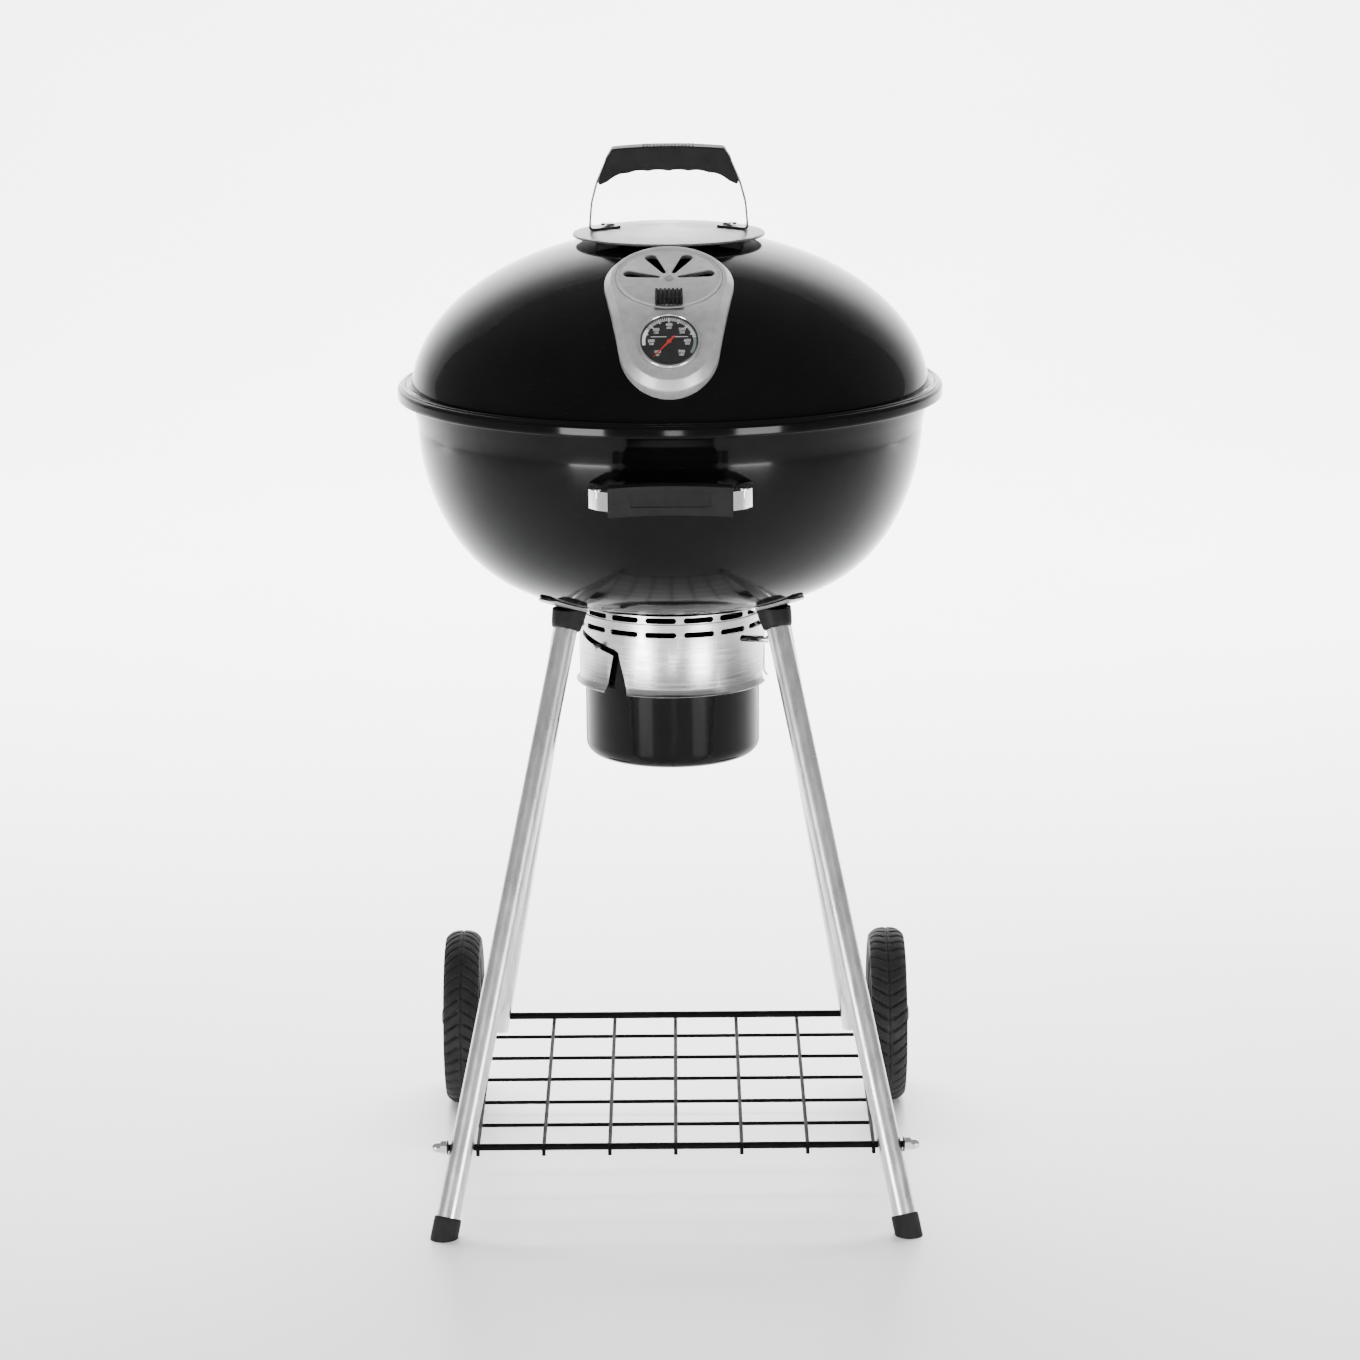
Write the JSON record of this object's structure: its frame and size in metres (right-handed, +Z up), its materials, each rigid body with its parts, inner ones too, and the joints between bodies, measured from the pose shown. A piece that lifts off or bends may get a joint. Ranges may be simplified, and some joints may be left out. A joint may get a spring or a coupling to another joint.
{
  "type": "kettle charcoal grill",
  "caption": "Free-standing kettle charcoal grill: domed lid on a deep round bowl, splayed tube legs, two wheels, a wire shelf and a bayonet ash catcher.",
  "frame": {"origin": "centre of the footprint box, on the floor under the feet and wheels", "axes": "+Z up, -Y towards the cook (front handle and thermometer), +X to the cook's right"},
  "size_m": [0.6034, 0.6435, 1.1445],
  "materials": {
    "black_enamel": "high-gloss black porcelain enamel",
    "brushed_stainless": "brushed stainless steel",
    "leg_tube": "bright drawn tube with fine lengthwise lines",
    "cast_aluminium": "satin cast aluminium",
    "chrome": "bright chrome",
    "black_plastic": "matte black heat-resistant plastic",
    "glass": "clear flat glass",
    "dial_face": "matte black printed dial",
    "needle_red": "matte red",
    "black_wire": "satin black coated wire",
    "rubber": "matte black rubber",
    "cast_iron": "dark seasoned iron",
    "plated_steel": "thin grey plated steel"
  },
  "bodies": {
    "stand": {"ash_collar": "brushed_stainless", "axle": "black_wire", "axle_cap_left": "black_plastic", "axle_cap_right": "black_plastic", "bowl_shell": "black_enamel", "charcoal_grate": "cast_iron", "cooking_grate": "cast_iron", "foot_cap_left": "rubber", "foot_cap_right": "rubber", "front_handle_bolt_left": "chrome", "front_handle_bolt_right": "chrome", "front_handle_bracket_left": "chrome", "front_handle_bracket_right": "chrome", "front_handle_grip": "black_plastic", "leg_front_left": "leg_tube", "leg_front_right": "leg_tube", "leg_plate_front_left": "plated_steel", "leg_plate_front_right": "plated_steel", "leg_plate_rear_left": "plated_steel", "leg_plate_rear_right": "plated_steel", "leg_rear_left": "leg_tube", "leg_rear_right": "leg_tube", "leg_socket_front_left": "black_plastic", "leg_socket_front_right": "black_plastic", "leg_socket_rear_left": "black_plastic", "leg_socket_rear_right": "black_plastic", "shelf_nut_left": "chrome", "shelf_nut_right": "chrome", "shelf_washer_left": "black_plastic", "shelf_washer_right": "black_plastic", "wire_shelf": "black_wire"},
    "lid": {"damper_rivet": "chrome", "heat_shield_disc": "brushed_stainless", "lid_handle_bolt_left": "chrome", "lid_handle_bolt_right": "chrome", "lid_handle_grip": "black_plastic", "lid_handle_strap": "brushed_stainless", "lid_shell": "black_enamel", "shield_spacer_left": "black_plastic", "shield_spacer_right": "black_plastic", "thermometer_bezel": "chrome", "thermometer_dial": "dial_face", "thermometer_glass": "glass", "thermometer_probe": "brushed_stainless", "vent_housing": "cast_aluminium"},
    "damper": {"vent_damper": "cast_aluminium", "damper_knob": "black_plastic"},
    "needle": {"thermometer_needle": "needle_red"},
    "wheel_left": {"tyre_left": "rubber", "wheel_hub_left": "black_plastic"},
    "wheel_right": {"tyre_right": "rubber", "wheel_hub_right": "black_plastic"},
    "air_ring": {"air_shutter_ring": "brushed_stainless"},
    "ash_catcher": {"ash_pot": "black_enamel", "ash_pot_pin_1": "chrome", "ash_pot_pin_2": "chrome", "ash_pot_pin_3": "chrome"}
  },
  "joints": [
    {"name": "lid_lift", "type": "slide", "parent": "stand", "child": "lid", "axis": [0, 0, 1], "range_m": [0, 0.35]},
    {"name": "vent_turn", "type": "hinge", "parent": "lid", "child": "damper", "pos_m": [0, -0.1587, 1.0216], "axis": [0, -0.4305, 0.9026], "range_deg": [-26.5, 26.5]},
    {"name": "needle_turn", "type": "hinge", "parent": "lid", "child": "needle", "pos_m": [0, -0.23991, 0.96501], "axis": [0, 0.7604, -0.6494], "range_deg": [0, 277]},
    {"name": "wheel_left_roll", "type": "hinge", "parent": "stand", "child": "wheel_left", "pos_m": [-0.2486, 0.1821, 0.1016], "axis": [1, 0, 0], "continuous": true},
    {"name": "wheel_right_roll", "type": "hinge", "parent": "stand", "child": "wheel_right", "pos_m": [0.2486, 0.1821, 0.1016], "axis": [1, 0, 0], "continuous": true},
    {"name": "ring_turn", "type": "hinge", "parent": "stand", "child": "air_ring", "pos_m": [0, 0.0201, 0.6], "axis": [0, 0, 1], "range_deg": [-12, 20]},
    {"name": "pot_drop", "type": "slide", "parent": "stand", "child": "ash_catcher", "axis": [0, 0, 1], "range_m": [-0.0042, 0.007]}
  ],
  "couplings": [
    {"joint": "pot_drop", "follows": "ring_turn", "m_per_rad": 0.019996}
  ]
}
